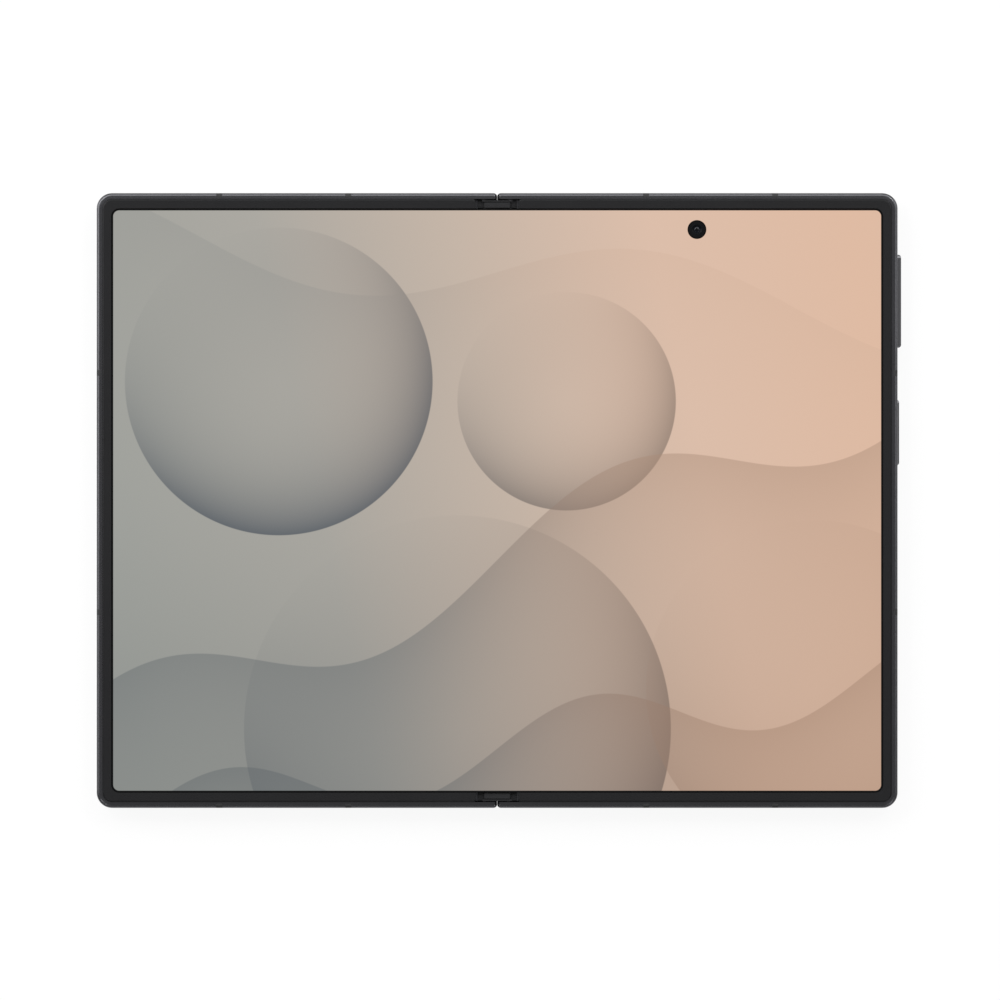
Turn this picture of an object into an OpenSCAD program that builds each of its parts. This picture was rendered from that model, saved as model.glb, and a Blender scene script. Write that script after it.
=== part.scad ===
/* [Body] */
// width of the open phone across both halves
open_w = 161.4; // [150:0.1:170]
// height along the fold line
body_h = 123.9; // [115:0.1:135]
// thickness of each half, bezel included
half_t = 4.8; // [4.6:0.05:5.2]
// radius of the outer corners
corner_r = 3.1; // [2.5:0.1:5]
// thickness of the metal rim
rim_t = 1.2; // [1:0.05:1.6]
// radius of the corners next to the fold line
fold_corner_r = 0.7; // [0.4:0.1:1]

/* [Display] */
// width of the lit inner display
disp_w = 154.7; // [145:0.1:160]
// height of the lit inner display
disp_h = 116.9; // [110:0.1:122]
// corner radius of the inner display
disp_r = 1.2; // [0.5:0.1:3]
// depth of the display below the raised bezel
disp_drop = 0.35; // [0.2:0.05:0.5]
// half width of the strip that bends
strip_half = 5; // [4:0.1:8]
// radius of the hole for the inner camera
selfie_r = 1.8; // [1:0.1:2.5]

/* [Hinge] */
// distance of each fold axis from the fold line
axis_x = 1.5; // [1.3:0.05:1.8]
// height of both fold axes above the back plane
axis_h = 3.4; // [3.2:0.05:3.6]
// outer radius of the spine cover
spine_r = 2.85; // [2.6:0.05:2.9]
// wall of the spine cover
spine_wall = 0.4; // [0.3:0.05:0.5]

/* [Cameras] */
// height of the rear camera island above the rear glass
island_h = 1.5; // [1:0.1:2.5]
// width of the rear camera island
island_w = 16; // [12:0.5:20]
// length of the rear camera island
island_l = 44; // [34:0.5:50]

/* [Keys] */
// length of the volume key
vol_l = 18.8; // [14:0.1:22]
// length of the side key
side_l = 13.3; // [10:0.1:16]
// how far the volume key stands out
vol_out = 0.75; // [0.4:0.05:1]
// how far the side key stands out
side_out = 0.35; // [0.2:0.05:0.6]

/* [Hidden] */
$fn = 48;
hw = open_w / 2;
hh = body_h / 2;
z0 = island_h;
z_top = z0 + half_t;
z_ax = z0 + axis_h;
z_deck = z0 + 2.8;
z_disp = z_top - disp_drop;
z_panel = z_disp - 0.8;
z_plate = z_panel - 0.2;
fold_x = 0.02;
mouth_r = spine_r + 0.12;
cap_half = 2.6;
wall_y = 1.2;
spine_y = hh - wall_y - 0.2;
disp_y = disp_h / 2;
disp_x = disp_w / 2;
selfie_x = 40.25;
selfie_y = 54.6;
vol_y = 40.2;
side_y = 13.7;
key_z = z0 + 2.3;
pivot_x = hw - 1.5;
isl_x = 67;
isl_y = 34;
lens_y = [13.5, -1.5];
flash_dy = -14.5;
gear_z = z0 + 2.3;
gear_x = [-2.4, -0.8, 0.8, 2.4];
gear_teeth = 8;
gear_out = 0.93;
gear_root = 0.62;
module_y = 38;
rail_in = 1.35;
rail_out = 2.05;
usb_x = 40.4;
usb_z = z0 + 2.1;
sim_x = 40.4;
sim_z = z0 + 2.1;
z_floor = z_panel - 0.03;
glass_x = 4.9;
bay_x = 10.5;
bezel_x = 4.35;
cover_cam_x = 44.6;
cover_cam_y = 52;

// ---- shared shapes ----

// a flat outline in x and z, run along y
module run_y(y0, y1) {
  translate([0, y1, 0]) rotate([90, 0, 0]) linear_extrude(height = y1 - y0) children();
}

// a flat outline in y and z, run along x
module run_x(x0, x1) {
  translate([x0, 0, 0]) rotate([90, 0, 90]) linear_extrude(height = x1 - x0) children();
}

module bar_y(x, z, r, y0, y1) {
  translate([x, y1, z]) rotate([90, 0, 0]) cylinder(r = r, h = y1 - y0);
}

module block(x0, x1, y0, y1, za, zb) {
  translate([x0, y0, za]) cube([x1 - x0, y1 - y0, zb - za]);
}

// cross-section with its two outer corners rounded to ca below and cb above
module edge(w, za, zb, ca, cb) {
  difference() {
    union() {
      translate([0, za + ca]) square([w, zb - za - ca - cb]);
      translate([0, za]) square([w - ca, ca + 0.1]);
      translate([0, zb - cb - 0.1]) square([w - cb, cb + 0.1]);
      translate([w - ca, za + ca]) circle(ca);
      translate([w - cb, zb - cb]) circle(cb);
    }
    translate([-2, za - 1]) square([2, zb - za + 2]);
  }
}

// a plate symmetric in y with eased outer edges and a square edge at x0
module slab(x0, x1, y1, r_in, r_out, za, zb, ca, cb) {
  run_y(r_out - y1, y1 - r_out) translate([x0, 0]) edge(x1 - x0, za, zb, ca, cb);
  run_y(r_in - y1, y1 - r_in) translate([x0, za]) square([r_out, zb - za]);
  run_x(x0 + r_in, x1 - r_out) {
    edge(y1, za, zb, ca, cb);
    mirror([1, 0]) edge(y1, za, zb, ca, cb);
  }
  for (s = [-1, 1]) {
    translate([x1 - r_out, s * (y1 - r_out), 0]) rotate_extrude() edge(r_out, za, zb, ca, cb);
    translate([x0 + r_in, s * (y1 - r_in), 0]) rotate_extrude() edge(r_in, za, zb, ca, cb);
  }
}

// rounded outline between x0 and x1, y0 and y1
module patch(x0, x1, y0, y1, r) {
  translate([x0 + r, y0]) square([x1 - x0 - 2 * r, y1 - y0]);
  translate([x0, y0 + r]) square([x1 - x0, y1 - y0 - 2 * r]);
  for (x = [x0 + r, x1 - r]) for (y = [y0 + r, y1 - r]) translate([x, y]) circle(r);
}

// outline with round corners only on its x1 side
module open_patch(x0, x1, y1, r) {
  translate([x0, -y1]) square([x1 - x0 - r, 2 * y1]);
  translate([x0, r - y1]) square([x1 - x0, 2 * (y1 - r)]);
  for (y = [r - y1, y1 - r]) translate([x1 - r, y]) circle(r);
}

module plate(za, zb) {
  translate([0, 0, za]) linear_extrude(height = zb - za) children();
}

module other_side() {
  mirror([1, 0, 0]) children();
}

// ---- frames ----

module half_blank() {
  difference() {
    slab(fold_x, hw, hh, fold_corner_r, corner_r, z0, z_top - 0.3, 0.6, 0.6);
    difference() {
      block(-1, axis_x, -hh - 1, hh + 1, z_ax, z_top + 1);
      bar_y(axis_x, z_ax, axis_x - fold_x, -hh - 2, hh + 2);
    }
  }
}

// places where the plastic antenna bands cross the metal rim
module band_slots(play) {
  w = 0.6 - play;
  d = 0.9 - play;
  for (x = [30, 56]) for (s = [-1, 1])
    block(x - w, x + w, s * (hh - d / 2) - d / 2, s * (hh - d / 2) + d / 2, z0 - 1, z_top + 1);
  for (y = [25.7, -22.5]) block(hw - d, hw + 1, y - w, y + w, z0 - 1, z_top + 1);
}

module half_frame() {
  difference() {
    half_blank();
    // mouth that rolls around the spine
    run_y(wall_y - hh, hh - wall_y) {
      translate([axis_x, z_ax]) circle(mouth_r);
      translate([-1, z_ax - mouth_r]) square([axis_x + 1, mouth_r + 3]);
      translate([0, z_ax]) square([axis_x + mouth_r, 3]);
    }
    // seat of the inner display and its bezel
    plate(z_floor, z_top + 1) open_patch(-1, hw - rim_t, hh - rim_t, corner_r - rim_t);
    block(4, strip_half + 0.2, -disp_y - 0.6, disp_y + 0.6, z0 + 3.4, z_top);
    // seat of the outer glass
    plate(z0 - 1, z0 + 0.55) patch(glass_x - 0.08, hw - 0.92, 0.92 - hh, hh - 0.92, corner_r - 0.92);
    // bay for battery and boards
    plate(z0 + 0.5, z_deck) patch(bay_x, hw - 2.2, 2.2 - hh, hh - 2.2, 1.2);
    for (s = [-1, 1]) {
      // seat of the rotating brackets
      block(4, 9.7, s * module_y - 4.7, s * module_y + 4.7, z0 + 1.98, z_top);
      // channel of the flexible cables
      block(4, bay_x + 1, s * 20 - 4.4, s * 20 + 4.4, z0 + 2.5, z_top);
      for (t = [-1, 1])
        translate([8, s * module_y + t * 2.6, z0 + 0.9]) cylinder(r = 0.42, h = 2);
    }
    // pocket where the sync arm slides
    block(3.3, 8.4, -3.4, 3.4, z0 + 1.5, z0 + 2.88);
    band_slots(0);
  }
}

module pill_x(x0, x1, y, z, len, r) {
  translate([x0, 0, 0]) {
    for (s = [-1, 1])
      translate([0, y + s * (len / 2 - r), z]) rotate([0, 90, 0]) cylinder(r = r, h = x1 - x0);
    translate([0, y - len / 2 + r, z - r]) cube([x1 - x0, len - 2 * r, 2 * r]);
  }
}

module pill_y(y0, y1, x, z, len, r) {
  for (s = [-1, 1]) bar_y(x + s * (len / 2 - r), z, r, y0, y1);
  block(x - len / 2 + r, x + len / 2 - r, y0, y1, z - r, z + r);
}

module main_frame() {
  color([0.2, 0.2, 0.21])
  difference() {
    half_frame();
    // key slots
    pill_x(hw - 3.3, hw + 1, vol_y, key_z, vol_l + 0.3, 0.85);
    pill_x(hw - 3.3, hw + 1, side_y, key_z, side_l + 0.3, 0.85);
    translate([pivot_x, vol_y, z0 + 1]) cylinder(r = 0.31, h = 4);
    // socket mouth and its bed
    pill_y(-hh - 1, 1.3 - hh, usb_x, usb_z, 8.7, 1.42);
    block(usb_x - 4.5, usb_x + 4.5, rim_t - hh, 8.8 - hh, z0 + 0.5, z_top);
    // sound holes of the loudspeaker and microphones
    for (i = [0:5]) bar_y(56 + 2.2 * i + (i > 2 ? 1.2 : 0), z0 + 2.1, 0.6, -hh - 1, 3 - hh);
    bar_y(24, z0 + 2.1, 0.4, -hh - 1, 3 - hh);
    bar_y(38, z0 + 2.1, 0.4, hh - 3, hh + 1);
    // holes under the inner camera
    translate([selfie_x, selfie_y, z0 + 2.5]) cylinder(r = 2.3, h = 3);
  }
}

module cover_frame() {
  color([0.2, 0.2, 0.21])
  difference() {
    other_side() half_frame();
    // mouth and bed of the card tray
    pill_y(-hh - 1, 2.3 - hh, -sim_x, sim_z, 12.3, 0.75);
    translate([-sim_x + 8.2, 0, sim_z]) bar_y(0, 0, 0.45, -hh - 1, 3 - hh);
    // earpiece holes and microphone
    bar_y(-24, z0 + 2.1, 0.4, hh - 3, hh + 1);
    for (i = [0:3]) bar_y(-60 - 2.2 * i, z0 + 2.1, 0.6, hh - 3, hh + 1);
  }
}

module main_antenna_bands() {
  color([0.13, 0.13, 0.14])
  intersection() {
    half_blank();
    band_slots(0.01);
  }
}

module cover_antenna_bands() {
  color([0.13, 0.13, 0.14])
  other_side()
  intersection() {
    half_blank();
    band_slots(0.01);
  }
}

// ---- bezels and inner display ----

module half_bezel() {
  difference() {
    slab(bezel_x, hw - rim_t - 0.02, hh - rim_t - 0.02, 0.5, corner_r - rim_t, z_floor, z_top, 0.05, 0.3);
    plate(z_floor - 1, z_top + 1) open_patch(bezel_x - 1, disp_x + 0.4, disp_y + 0.4, disp_r + 0.4);
  }
}

module main_bezel() {
  color([0.15, 0.15, 0.16]) half_bezel();
}

module cover_bezel() {
  color([0.15, 0.15, 0.16]) other_side() half_bezel();
}

module half_panel() {
  plate(z_panel, z_disp) open_patch(strip_half, disp_x + 0.37, disp_y + 0.37, disp_r + 0.37);
}

module main_display_panel() {
  color([0.82, 0.7, 0.62])
  difference() {
    half_panel();
    translate([selfie_x, selfie_y, z_panel - 1]) cylinder(r = selfie_r, h = 3);
  }
}

module cover_display_panel() {
  color([0.6, 0.6, 0.58]) other_side() half_panel();
}

module fold_strip() {
  color([0.7, 0.66, 0.6])
  block(-strip_half + 0.02, strip_half - 0.02, -disp_y - 0.37, disp_y + 0.37, z_panel, z_disp);
}

module fold_backing() {
  color([0.5, 0.5, 0.52])
  difference() {
    block(-strip_half + 0.02, strip_half - 0.02, -disp_y - 0.3, disp_y + 0.3, z_plate, z_panel - 0.02);
    for (i = [-3:3]) for (j = [0:13])
      translate([0.9 * i - 0.2, -disp_y + 1.5 + 8.3 * j + (abs(i) % 2) * 3.2, z_plate - 1])
        cube([0.4, 5.4, 3]);
  }
}

module selfie_camera() {
  color([0.05, 0.05, 0.06])
  translate([selfie_x, selfie_y, 0]) {
    translate([0, 0, z0 + 0.9]) linear_extrude(height = 1.6) square([6.4, 6], center = true);
    difference() {
      translate([0, 0, z0 + 2.5]) cylinder(r = 1.72, h = z_disp - 0.12 - z0 - 2.5);
      translate([0, 0, z_disp - 0.5]) cylinder(r1 = 0.5, r2 = 1.3, h = 0.6);
    }
    translate([0, 0, z_disp - 0.5]) cylinder(r = 0.45, h = 0.12);
  }
}

// ---- back of the main half ----

module main_rear_glass() {
  color([0.16, 0.17, 0.18])
  difference() {
    slab(glass_x, hw - 1, hh - 1, corner_r - 1, corner_r - 1, z0, z0 + 0.5, 0.15, 0.02);
    plate(z0 - 1, z0 + 1)
      patch(isl_x - island_w / 2 + 1.1, isl_x + island_w / 2 - 1.1,
        isl_y - island_l / 2 + 1.1, isl_y + island_l / 2 - 1.1, island_w / 2 - 1.11);
  }
}

module camera_island() {
  w = island_w / 2;
  l = island_l / 2 - w;
  color([0.22, 0.22, 0.23])
  difference() {
    union() {
      translate([isl_x, 0, 0]) run_y(isl_y - l, isl_y + l) {
        edge(w, 0.4, z0, 0.5, 0.02);
        mirror([1, 0]) edge(w, 0.4, z0, 0.5, 0.02);
      }
      for (s = [-1, 1])
        translate([isl_x, isl_y + s * l, 0]) rotate_extrude() edge(w, 0.4, z0, 0.5, 0.02);
      plate(z0 - 0.1, z0 + 0.5)
        patch(isl_x - w + 1.2, isl_x + w - 1.2, isl_y - l - w + 1.2, isl_y + l + w - 1.2, w - 1.21);
    }
    for (d = lens_y) translate([isl_x, isl_y + d, -1]) {
      cylinder(r = 6.35, h = 2.3);
      cylinder(r = 5, h = 5);
    }
    translate([isl_x, isl_y + flash_dy, -1]) {
      cylinder(r = 2, h = 2.25);
      cylinder(r = 1.5, h = 5);
    }
  }
}

module lens_rings() {
  color([0.3, 0.3, 0.31])
  for (d = lens_y) translate([isl_x, isl_y + d, 0]) rotate_extrude()
    polygon([[5.1, 0.1], [5.25, 0], [5.95, 0], [6.3, 0.3], [6.3, 1.3],
      [4.6, 1.3], [4.6, 0.8], [5.1, 0.8]]);
}

module lens_glasses() {
  color([0.03, 0.03, 0.04])
  for (d = lens_y) translate([isl_x, isl_y + d, 0.15]) cylinder(r = 5.05, h = 0.6);
}

module camera_modules() {
  color([0.08, 0.08, 0.09])
  for (d = lens_y) translate([isl_x, isl_y + d, 0]) {
    difference() {
      translate([0, 0, 0.95]) cylinder(r = 4.5, h = z0 + 0.15);
      translate([0, 0, 0.9]) cylinder(r1 = 3.4, r2 = 1.6, h = 0.8);
    }
    translate([0, 0, 1.6]) cylinder(r = 1.4, h = 0.2);
    translate([-5.6, -5.6, z0 + 1]) cube([11.2, 11.2, 1.7]);
  }
}

module flash_lens() {
  color([0.9, 0.86, 0.7])
  translate([isl_x, isl_y + flash_dy, 0.45]) difference() {
    cylinder(r = 1.92, h = 0.78);
    for (r = [0.5, 1, 1.5]) translate([0, 0, -0.5]) difference() {
      cylinder(r = r, h = 0.56);
      translate([0, 0, -1]) cylinder(r = r - 0.2, h = 3);
    }
  }
}

// ---- back of the cover half ----

module cover_glass() {
  color([0.04, 0.04, 0.05])
  difference() {
    other_side()
      slab(glass_x, hw - 1, hh - 1, corner_r - 1, corner_r - 1, z0, z0 + 0.5, 0.15, 0.02);
    block(-cover_cam_x - 4, -cover_cam_x + 4, hh - 1.5, hh, z0 - 1, z0 + 1);
  }
}

module cover_display() {
  color([0.1, 0.1, 0.12])
  difference() {
    other_side() plate(z0 + 0.56, z0 + 1.3) patch(bay_x + 0.2, hw - 2.4, 2.4 - hh, hh - 2.4, 1.1);
    translate([-cover_cam_x, cover_cam_y, z0]) cylinder(r = 2.1, h = 3);
  }
}

module cover_camera() {
  color([0.05, 0.05, 0.06])
  translate([-cover_cam_x, cover_cam_y, 0]) {
    difference() {
      translate([0, 0, z0 + 0.58]) cylinder(r = 1.95, h = 0.9);
      translate([0, 0, z0 + 0.5]) cylinder(r1 = 1.5, r2 = 0.6, h = 0.6);
    }
    translate([-3.2, -3.2, z0 + 1.45]) cube([6.4, 6.4, 1.25]);
  }
}

// ---- hinge ----

// lower half of a capsule outline around both fold axes
module spine_outline(r) {
  difference() {
    union() {
      for (s = [-1, 1]) translate([s * axis_x, z_ax]) circle(r);
      translate([-axis_x, z_ax - r]) square([2 * axis_x, r]);
    }
    translate([-9, z_ax]) square([18, 9]);
  }
}

module spine_cover() {
  color([0.24, 0.24, 0.25])
  difference() {
    run_y(-spine_y, spine_y) difference() {
      spine_outline(spine_r);
      spine_outline(spine_r - spine_wall);
    }
    for (m = [-module_y, module_y]) {
      block(3.4, 5, m - 4, m - 0.2, z_ax - 1.6, z_ax + 1);
      block(-5, -3.4, m + 0.2, m + 4, z_ax - 1.6, z_ax + 1);
    }
    for (s = [-1, 1]) {
      block(-5, 5, s * 20 - 4.4, s * 20 + 4.4, z0 + 2.5, z_ax + 1);
      block(s * 4.2 - 0.8, s * 4.2 + 0.8, -1.9, 1.9, gear_z - 0.75, z_ax + 1);
    }
  }
}

// groove of one rotating bracket, right of the fold line
module rail_groove(ya, yb) {
  difference() {
    union() {
      bar_y(axis_x, z_ax, rail_out + 0.05, ya, yb);
      block(axis_x, 4.6, ya, yb, z_ax - 1.5, z_ax + 1);
    }
    bar_y(axis_x, z_ax, rail_in - 0.05, ya - 1, yb + 1);
  }
}

module hinge_bases() {
  color([0.45, 0.45, 0.47])
  difference() {
    for (m = [-module_y, module_y, 0]) for (s = [-1, 1]) {
      a = m == 0 ? 1.7 : 0;
      run_y(m + s * (a + 5.5) / 2 - (5.5 - a) / 2, m + s * (a + 5.5) / 2 + (5.5 - a) / 2)
        difference() {
          spine_outline(spine_r - spine_wall - 0.03);
          translate([-9, z_ax - 0.2]) square([18, 9]);
        }
    }
    for (m = [-module_y, module_y]) {
      rail_groove(m - 3.9, m - 0.3);
      other_side() rail_groove(m + 0.3, m + 3.9);
    }
    for (x = gear_x) bar_y(x, gear_z, 0.26, -6, 6);
  }
}

// plugs in the spine's ends, each with a T that fills the gap between the bezels
module hinge_end_caps() {
  color([0.1, 0.1, 0.11])
  for (s = [0, 1]) mirror([0, s, 0]) {
    run_y(59, spine_y - 0.05) spine_outline(spine_r - spine_wall - 0.03);
    block(-3.05, 3.05, 60.22, spine_y - 0.05, z_ax - 0.3, z_ax + 0.75);
    block(-cap_half, cap_half, 59, 60.08, z_ax - 0.3, z_ax + 0.65);
  }
}

// arc rails, arms and screw plates of the brackets on the right of the fold line
module brackets(side) {
  for (m = [-module_y, module_y]) {
    ya = side > 0 ? m - 3.8 : m + 0.4;
    difference() {
      bar_y(axis_x, z_ax, rail_out, ya, ya + 3.4);
      bar_y(axis_x, z_ax, rail_in, ya - 1, ya + 5);
      run_y(ya - 1, ya + 5) translate([axis_x, z_ax])
        polygon([[0, 0], [-4, -0.35], [-4, 4], [4, 4], [4, -3.36]]);
    }
    difference() {
      union() {
        block(axis_x + 1.15, 5, ya, ya + 3.4, z_ax - 1.4, z_ax - 0.8);
        block(4.8, 9.4, m - 4.4, m + 4.4, z_ax - 1.4, z_ax - 0.8);
      }
      for (t = [-1, 1]) translate([8, m + t * 2.6, 0]) {
        cylinder(r = 0.42, h = 9);
        translate([0, 0, z_ax - 1.15]) cylinder(r1 = 0.42, r2 = 0.8, h = 0.38);
      }
    }
  }
}

module main_hinge_brackets() {
  color([0.55, 0.55, 0.57]) brackets(1);
}

module cover_hinge_brackets() {
  color([0.55, 0.55, 0.57]) other_side() brackets(-1);
}

module bracket_screws() {
  for (m = [-module_y, module_y]) for (t = [-1, 1]) translate([8, m + t * 2.6, 0]) difference() {
    union() {
      translate([0, 0, z0 + 0.95]) cylinder(r = 0.38, h = 1.4);
      translate([0, 0, z_ax - 1.13]) cylinder(r1 = 0.38, r2 = 0.74, h = 0.34);
    }
    for (a = [0, 90]) rotate([0, 0, a]) translate([-0.45, -0.08, z_ax - 0.95]) cube([0.9, 0.16, 1]);
  }
}

module bracket_screws_main() {
  color([0.7, 0.7, 0.72]) bracket_screws();
}

module bracket_screws_cover() {
  color([0.7, 0.7, 0.72]) other_side() bracket_screws();
}

// ---- gear train that keeps both halves in step ----

module gear(x, phase) {
  translate([x, 1.5, gear_z]) rotate([90, 0, 0]) rotate([0, 0, phase]) difference() {
    union() {
      cylinder(r = gear_root, h = 3);
      for (i = [0:gear_teeth - 1]) rotate([0, 0, 360 * i / gear_teeth])
        linear_extrude(height = 3) polygon([[0.5, -0.16], [0.8, -0.115], [gear_out, -0.06],
          [gear_out, 0.06], [0.8, 0.115], [0.5, 0.16]]);
    }
    translate([0, 0, -1]) cylinder(r = 0.29, h = 5);
  }
}

module gear_pins() {
  color([0.75, 0.75, 0.77]) for (x = gear_x) bar_y(x, gear_z, 0.25, -3.6, 3.6);
}

module sync_arm() {
  block(2.85, 5, -1.5, 1.5, gear_z - 0.35, gear_z + 0.25);
  block(4.85, 7.9, -3, 3, gear_z - 0.35, gear_z + 0.25);
}

module main_sync_arm() {
  color([0.62, 0.62, 0.64]) {
    gear(2.4, 22.5);
    sync_arm();
  }
}

module main_idler_gear() {
  color([0.66, 0.62, 0.5]) gear(0.8, 0);
}

module cover_idler_gear() {
  color([0.66, 0.62, 0.5]) gear(-0.8, 22.5);
}

module cover_sync_arm() {
  color([0.62, 0.62, 0.64]) {
    gear(-2.4, 0);
    other_side() sync_arm();
  }
}

// cables that cross the fold, one above and one below the gear box
module flex_cables() {
  color([0.35, 0.22, 0.1])
  for (s = [-1, 1]) difference() {
    block(-12.4, 12.4, s * 20 - 3.6, s * 20 + 3.6, z0 + 2.6, z0 + 2.72);
    for (i = [-3:3]) block(-9, 9, s * 20 + i * 0.9 - 0.06, s * 20 + i * 0.9 + 0.06, z0 + 2.68, z0 + 3);
  }
}

// ---- keys and card tray ----

module key(y, len, out) {
  intersection() {
    pill_x(hw - 2.95, hw + out, y, key_z, len, 0.75);
    plate(z0, z_top) patch(hw - 9, hw + out, y - len / 2, y + len / 2, 0.6);
  }
  block(hw - 2.95, hw - 2.45, y - len / 2 + 0.4, y + len / 2 - 0.4, z0 + 1.1, z0 + 2.74);
}

module volume_key() {
  color([0.3, 0.3, 0.31]) difference() {
    key(vol_y, vol_l, vol_out);
    translate([pivot_x, vol_y, z0]) cylinder(r = 0.36, h = 5);
    for (s = [-1, 1]) translate([hw + vol_out + 0.75, vol_y + s * 5.2, key_z]) sphere(r = 0.9);
  }
}

// the volume key rocks on this pin
module key_pivot_pin() {
  color([0.75, 0.75, 0.77]) translate([pivot_x, vol_y, z0 + 1.02]) cylinder(r = 0.3, h = 2.3);
}

module side_key() {
  color([0.3, 0.3, 0.31]) difference() {
    key(side_y, side_l, side_out);
    pill_x(hw + side_out - 0.06, hw + 2, side_y, key_z, side_l - 1, 0.5);
  }
}

module key_switches() {
  color([0.3, 0.2, 0.12]) {
    block(hw - 4.5, hw - 4.2, 4.5, 52, z0 + 1.2, z0 + 2.7);
    for (y = [vol_y - 6, vol_y + 6, side_y]) translate([hw - 4.3, y, key_z - 0.3]) rotate([0, 90, 0]) {
      cylinder(r = 0.72, h = 0.4);
      cylinder(r = 0.45, h = 1.03);
    }
  }
}

module sim_tray() {
  color([0.3, 0.3, 0.31]) difference() {
    union() {
      pill_y(0.03 - hh, 1.6 - hh, -sim_x, sim_z, 12, 0.65);
      block(-sim_x - 5.5, -sim_x + 5.5, 1 - hh, 17.5 - hh, sim_z - 0.42, sim_z + 0.42);
    }
    block(-sim_x - 4.4, -sim_x + 4.4, 2.6 - hh, 14.9 - hh, sim_z - 0.3, sim_z + 2);
    block(-sim_x - 3.4, -sim_x + 3.4, 4 - hh, 13.4 - hh, sim_z - 2, sim_z + 2);
    for (s = [-1, 1]) translate([-sim_x + s * 5.7, 15.8 - hh, sim_z - 1]) cylinder(r = 0.5, h = 3);
  }
}

// ---- inside the main half ----

module usb_c_socket() {
  color([0.6, 0.6, 0.62]) {
    difference() {
      pill_y(1.25 - hh, 8.6 - hh, usb_x, usb_z, 8.74, 1.48);
      pill_y(-hh, 7.9 - hh, usb_x, usb_z, 8.34, 1.28);
    }
    block(usb_x - 3.35, usb_x + 3.35, 2.4 - hh, 8.2 - hh, usb_z - 0.35, usb_z + 0.35);
  }
}

module mainboard() {
  color([0.08, 0.22, 0.14]) difference() {
    block(12.5, 59.8, 36.5, 58.8, z0 + 0.9, z0 + 1.5);
    block(selfie_x - 3.7, selfie_x + 3.7, 51, 60, z0, z0 + 3);
    for (p = [[14.5, 56.8], [57.6, 56.8], [14.5, 38.5], [57.6, 38.5]])
      translate([p[0], p[1], z0]) cylinder(r = 0.7, h = 3);
  }
}

module board_shields() {
  color([0.68, 0.68, 0.7]) for (b = [[16.5, 35, 41, 56.5], [37, 55.5, 41, 49.8], [46, 55.5, 50.6, 56.5]])
    difference() {
      block(b[0], b[1], b[2], b[3], z0 + 1.52, z0 + 2.6);
      block(b[0] + 0.2, b[1] - 0.2, b[2] + 0.2, b[3] - 0.2, z0 + 1, z0 + 2.4);
    }
}

module board_screws() {
  color([0.75, 0.75, 0.77]) for (p = [[14.5, 56.8], [57.6, 56.8], [14.5, 38.5], [57.6, 38.5]])
    translate([p[0], p[1], 0]) difference() {
      union() {
        translate([0, 0, z0 + 0.7]) cylinder(r = 1.2, h = 0.18);
        translate([0, 0, z0 + 0.8]) cylinder(r = 0.6, h = 1.9);
      }
      for (a = [0, 90]) rotate([0, 0, a]) translate([-0.7, -0.12, z0 + 0.6]) cube([1.4, 0.24, 0.2]);
    }
}

module sub_board() {
  color([0.08, 0.22, 0.14]) {
    block(20, 35.4, -58.8, -43, z0 + 0.9, z0 + 1.5);
    block(35, 45.6, -52.8, -43, z0 + 0.9, z0 + 1.5);
    for (x = [23, 30]) block(x, x + 5, -49, -47, z0 + 1.4, z0 + 2.2);
  }
}

module pouch(x0, x1, y0, y1, za, zb) {
  difference() {
    plate(za, zb) patch(x0, x1, y0, y1, 2);
    block(x0 - 1, x1 + 1, y1 - 3.4, y1 + 1, zb - 0.3, zb + 1);
    block(x0 - 1, x1 + 1, y1 - 3.4, y1 + 1, za - 1, za + 0.3);
  }
  for (x = [x0 + 6, x0 + 14])
    block(x, x + 4, y1 - 0.5, y1 + 1.5, (za + zb) / 2 - 0.1, (za + zb) / 2 + 0.1);
}

module main_battery() {
  color([0.13, 0.13, 0.14]) pouch(14, 58.5, -40, 34, z0 + 0.95, z0 + 2.7);
}

module cover_battery() {
  color([0.13, 0.13, 0.14]) pouch(-75, -14, -41, 43, z0 + 1.4, z0 + 2.7);
}

module charging_coil() {
  color([0.72, 0.4, 0.2]) translate([36, -3, z0 + 0.58]) {
    for (r = [10:1.6:20]) difference() {
      cylinder(r = r + 1.2, h = 0.2);
      translate([0, 0, -1]) cylinder(r = r, h = 3);
    }
    translate([0, 0, 0.18]) cylinder(r = 22, h = 0.14);
  }
}

module sound_box(x0, x1, y0, y1, za) {
  difference() {
    plate(za, z0 + 2.7) patch(x0, x1, y0, y1, 1);
    plate(z0 + 2.4, z0 + 3) patch(x0 + 2, x1 - 2, y0 + 3, y1 - 1.5, 1);
  }
  plate(z0 + 2.3, z0 + 2.6) patch(x0 + 3, x1 - 3, y0 + 4, y1 - 2.5, 1);
}

module main_speaker() {
  color([0.1, 0.1, 0.11]) sound_box(48, 76, -59.2, -44, z0 + 0.9);
}

module cover_speaker() {
  color([0.1, 0.1, 0.11]) mirror([0, 1, 0]) sound_box(-76, -54, -59.2, -46, z0 + 1.4);
}

module vibration_motor() {
  color([0.6, 0.6, 0.62]) {
    plate(z0 + 0.95, z0 + 2.65) patch(61.5, 75.5, -41, -33, 0.8);
    block(67, 70, -33.4, -30, z0 + 1.5, z0 + 1.7);
  }
}

module closing_magnets_main() {
  color([0.5, 0.5, 0.52]) for (y = [-24, -12, 0])
    block(73, 76, y - 8, y - 0.5, z0 + 1, z0 + 2.7);
}

module closing_magnets_cover() {
  color([0.5, 0.5, 0.52]) for (y = [-24, -12, 0])
    block(-78, -75.4, y - 8, y - 0.5, z0 + 1.4, z0 + 2.7);
}

module cover_board() {
  color([0.08, 0.22, 0.14]) {
    block(-40.4, -12.5, 46, 58.8, z0 + 1.4, z0 + 1.9);
    for (x = [-36, -24]) block(x, x + 7, 49, 51.5, z0 + 1.8, z0 + 2.6);
  }
}

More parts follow.
